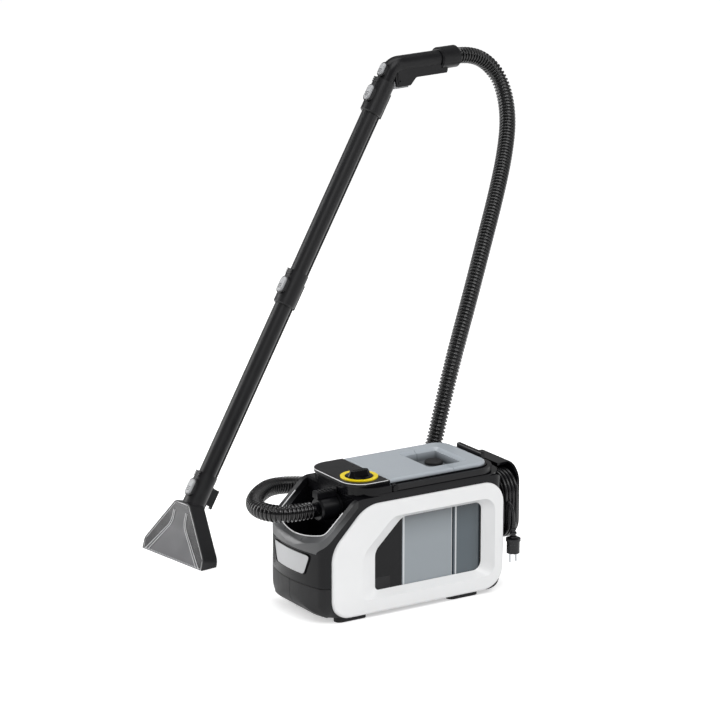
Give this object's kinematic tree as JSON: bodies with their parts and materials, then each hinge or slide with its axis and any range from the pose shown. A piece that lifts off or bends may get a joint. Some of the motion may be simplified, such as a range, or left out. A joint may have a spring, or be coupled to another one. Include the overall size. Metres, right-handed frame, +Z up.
{
  "type": "carpet cleaner machine",
  "caption": "Spray extraction carpet cleaner: boxy machine with lift-out water tanks, carry bail, wound power cord, ribbed suction hose, angled wand with trigger and flared floor nozzle",
  "frame": {"origin": "on the floor at the middle of the footprint of machine and wand, hose and cord left out", "axes": "+Z up; the machine faces -X with its window side to -Y; the wand stands on the +Y side"},
  "size_m": [0.9066, 0.6569, 0.9521],
  "materials": {
    "black_plastic": "black moulded plastic",
    "white_plastic": "satin white plastic",
    "silver_plastic": "silver grey plastic",
    "grey_plastic": "light grey plastic",
    "yellow_plastic": "yellow plastic",
    "smoked_clear": "smoked clear plastic",
    "grey_clear": "grey clear plastic",
    "rubber": "black rubber",
    "cord_rubber": "black cord sheath",
    "hose_plastic": "black ribbed hose",
    "steel": "bare steel",
    "aluminium": "bare aluminium"
  },
  "bodies": {
    "machine": {"base_pan": "black_plastic", "front_shell": "black_plastic", "tank_bay": "black_plastic", "well_trim": "silver_plastic", "left_side_panel": "white_plastic", "right_side_panel": "white_plastic", "badge_plate": "silver_plastic", "feet": "rubber", "top_rim": "black_plastic", "handle_pivots": "steel", "top_plate": "black_plastic", "knob_ring": "yellow_plastic", "switch_block": "black_plastic", "motor_mount": "rubber", "suction_motor": "steel", "fan_case": "black_plastic", "water_pump": "black_plastic", "hose_socket": "black_plastic", "hose_cuff": "black_plastic", "spray_coupling": "black_plastic", "cord_winder": "black_plastic", "cord_gland": "rubber", "power_cord": "cord_rubber", "plug_body": "cord_rubber", "plug_pins": "steel", "suction_hose": "hose_plastic"},
    "carry_bail": {"carry_handle": "black_plastic"},
    "knob": {"selector_knob": "black_plastic"},
    "fan": {"fan_rotor": "aluminium"},
    "dirty_box": {"dirty_tank": "smoked_clear", "dirty_tank_seal": "rubber"},
    "dirty_cover": {"dirty_tank_lid": "black_plastic", "float_guide": "white_plastic"},
    "float_ball": {"tank_float": "white_plastic"},
    "clean_box": {"clean_tank": "smoked_clear", "clean_tank_seal": "rubber", "clean_tank_lid": "black_plastic"},
    "cap": {"fill_cap": "grey_plastic"},
    "wand": {"handle_body": "black_plastic", "handle_housing": "black_plastic", "handle_cuff": "black_plastic", "trigger_pin": "steel", "spray_valve": "grey_plastic", "upper_tube": "black_plastic", "upper_spray_line": "black_plastic", "lower_tube": "black_plastic", "lower_spray_line": "black_plastic", "nozzle_body": "black_plastic", "nozzle_cover": "grey_clear", "spray_clip": "black_plastic", "spray_jet": "black_plastic"},
    "trigger": {"spray_trigger": "grey_plastic"},
    "slider": {"handle_slider": "grey_plastic"},
    "upper_button": {"upper_release_button": "grey_plastic"},
    "lower_button": {"lower_release_button": "grey_plastic"},
    "nozzle_button": {"nozzle_release_button": "grey_plastic"}
  },
  "joints": [
    {"name": "carry_handle_swing", "type": "hinge", "parent": "machine", "child": "carry_bail", "pos_m": [-0.162, -0.219, 0.2485], "axis": [0, -1, 0], "range_deg": [0, 95]},
    {"name": "selector_knob_turn", "type": "hinge", "parent": "machine", "child": "knob", "pos_m": [-0.2045, -0.2545, 0.262], "axis": [0, 0, 1], "range_deg": [-45, 45]},
    {"name": "fan_spin", "type": "hinge", "parent": "machine", "child": "fan", "pos_m": [-0.238, -0.199, 0.07], "axis": [0, 0, 1], "continuous": true},
    {"name": "dirty_tank_lift", "type": "slide", "parent": "machine", "child": "dirty_box", "axis": [0, 0, 1], "range_m": [0, 0.26]},
    {"name": "dirty_lid_lift", "type": "slide", "parent": "dirty_box", "child": "dirty_cover", "axis": [0, 0, 1], "range_m": [0, 0.13]},
    {"name": "float_rise", "type": "slide", "parent": "dirty_cover", "child": "float_ball", "axis": [0, 0, 1], "range_m": [0, 0.04]},
    {"name": "clean_tank_lift", "type": "slide", "parent": "machine", "child": "clean_box", "axis": [0, 0, 1], "range_m": [0, 0.26]},
    {"name": "fill_cap_lift", "type": "slide", "parent": "clean_box", "child": "cap", "axis": [0, 0, 1], "range_m": [0, 0.04]},
    {"name": "hose_swivel", "type": "hinge", "parent": "machine", "child": "wand", "pos_m": [0.3262, 0.29086, 0.92906], "axis": [0.9903, 0.1392, 0], "range_deg": [0, 60]},
    {"name": "trigger_pull", "type": "hinge", "parent": "wand", "child": "trigger", "pos_m": [0.21529, 0.27527, 0.89706], "axis": [0.1392, -0.9903, 0], "range_deg": [0, 6], "stiffness_Nm_per_rad": 0.2, "springref_deg": -11.46},
    {"name": "handle_slider_press", "type": "slide", "parent": "wand", "child": "slider", "axis": [0.8386, 0.1179, -0.5318], "range_m": [0, 0.003], "stiffness_N_per_m": 600, "springref_m": -0.002},
    {"name": "upper_button_press", "type": "slide", "parent": "wand", "child": "upper_button", "axis": [0.8386, 0.1179, -0.5318], "range_m": [0, 0.003], "stiffness_N_per_m": 600, "springref_m": -0.002},
    {"name": "lower_button_press", "type": "slide", "parent": "wand", "child": "lower_button", "axis": [0.8386, 0.1179, -0.5318], "range_m": [0, 0.003], "stiffness_N_per_m": 600, "springref_m": -0.002},
    {"name": "nozzle_button_press", "type": "slide", "parent": "wand", "child": "nozzle_button", "axis": [0.8386, 0.1179, -0.5318], "range_m": [0, 0.003], "stiffness_N_per_m": 600, "springref_m": -0.002}
  ]
}
